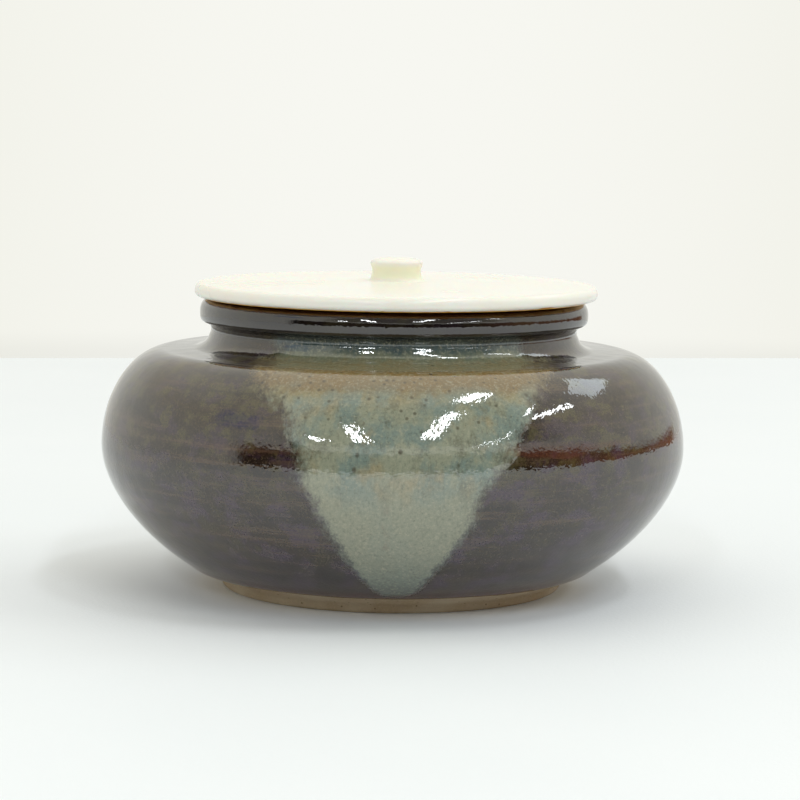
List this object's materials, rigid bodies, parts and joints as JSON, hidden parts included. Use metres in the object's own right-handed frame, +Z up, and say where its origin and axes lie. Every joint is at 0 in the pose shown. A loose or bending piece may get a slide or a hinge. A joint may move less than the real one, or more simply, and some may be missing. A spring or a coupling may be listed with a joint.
{
  "type": "lidded tea caddy",
  "caption": "Squat glazed stoneware tea caddy with a rolled lip, an upright collar, a poured ash glaze and a flat knobbed lift-off lid.",
  "frame": {"origin": "centre of the flat cut base, on the surface the jar stands on", "axes": "+Z up through the mouth and the lid's knob; -Y towards the side with the poured ash glaze; +X to the right of someone facing that side"},
  "size_m": [0.096, 0.0962, 0.0542],
  "materials": {
    "clay": "matte",
    "iron_glaze": "gloss",
    "ash_glaze": "gloss",
    "lid_ivory": "satin",
    "gold_foil": "satin"
  },
  "bodies": {
    "jar": {"jar_body": "clay", "iron_glaze": "iron_glaze", "ash_glaze_run": "ash_glaze"},
    "lid": {"lid": "lid_ivory", "lid_foil": "gold_foil"}
  },
  "joints": [
    {"name": "lid_lift", "type": "slide", "parent": "jar", "child": "lid", "axis": [0, 0, 1], "range_m": [0, 0.06]}
  ]
}
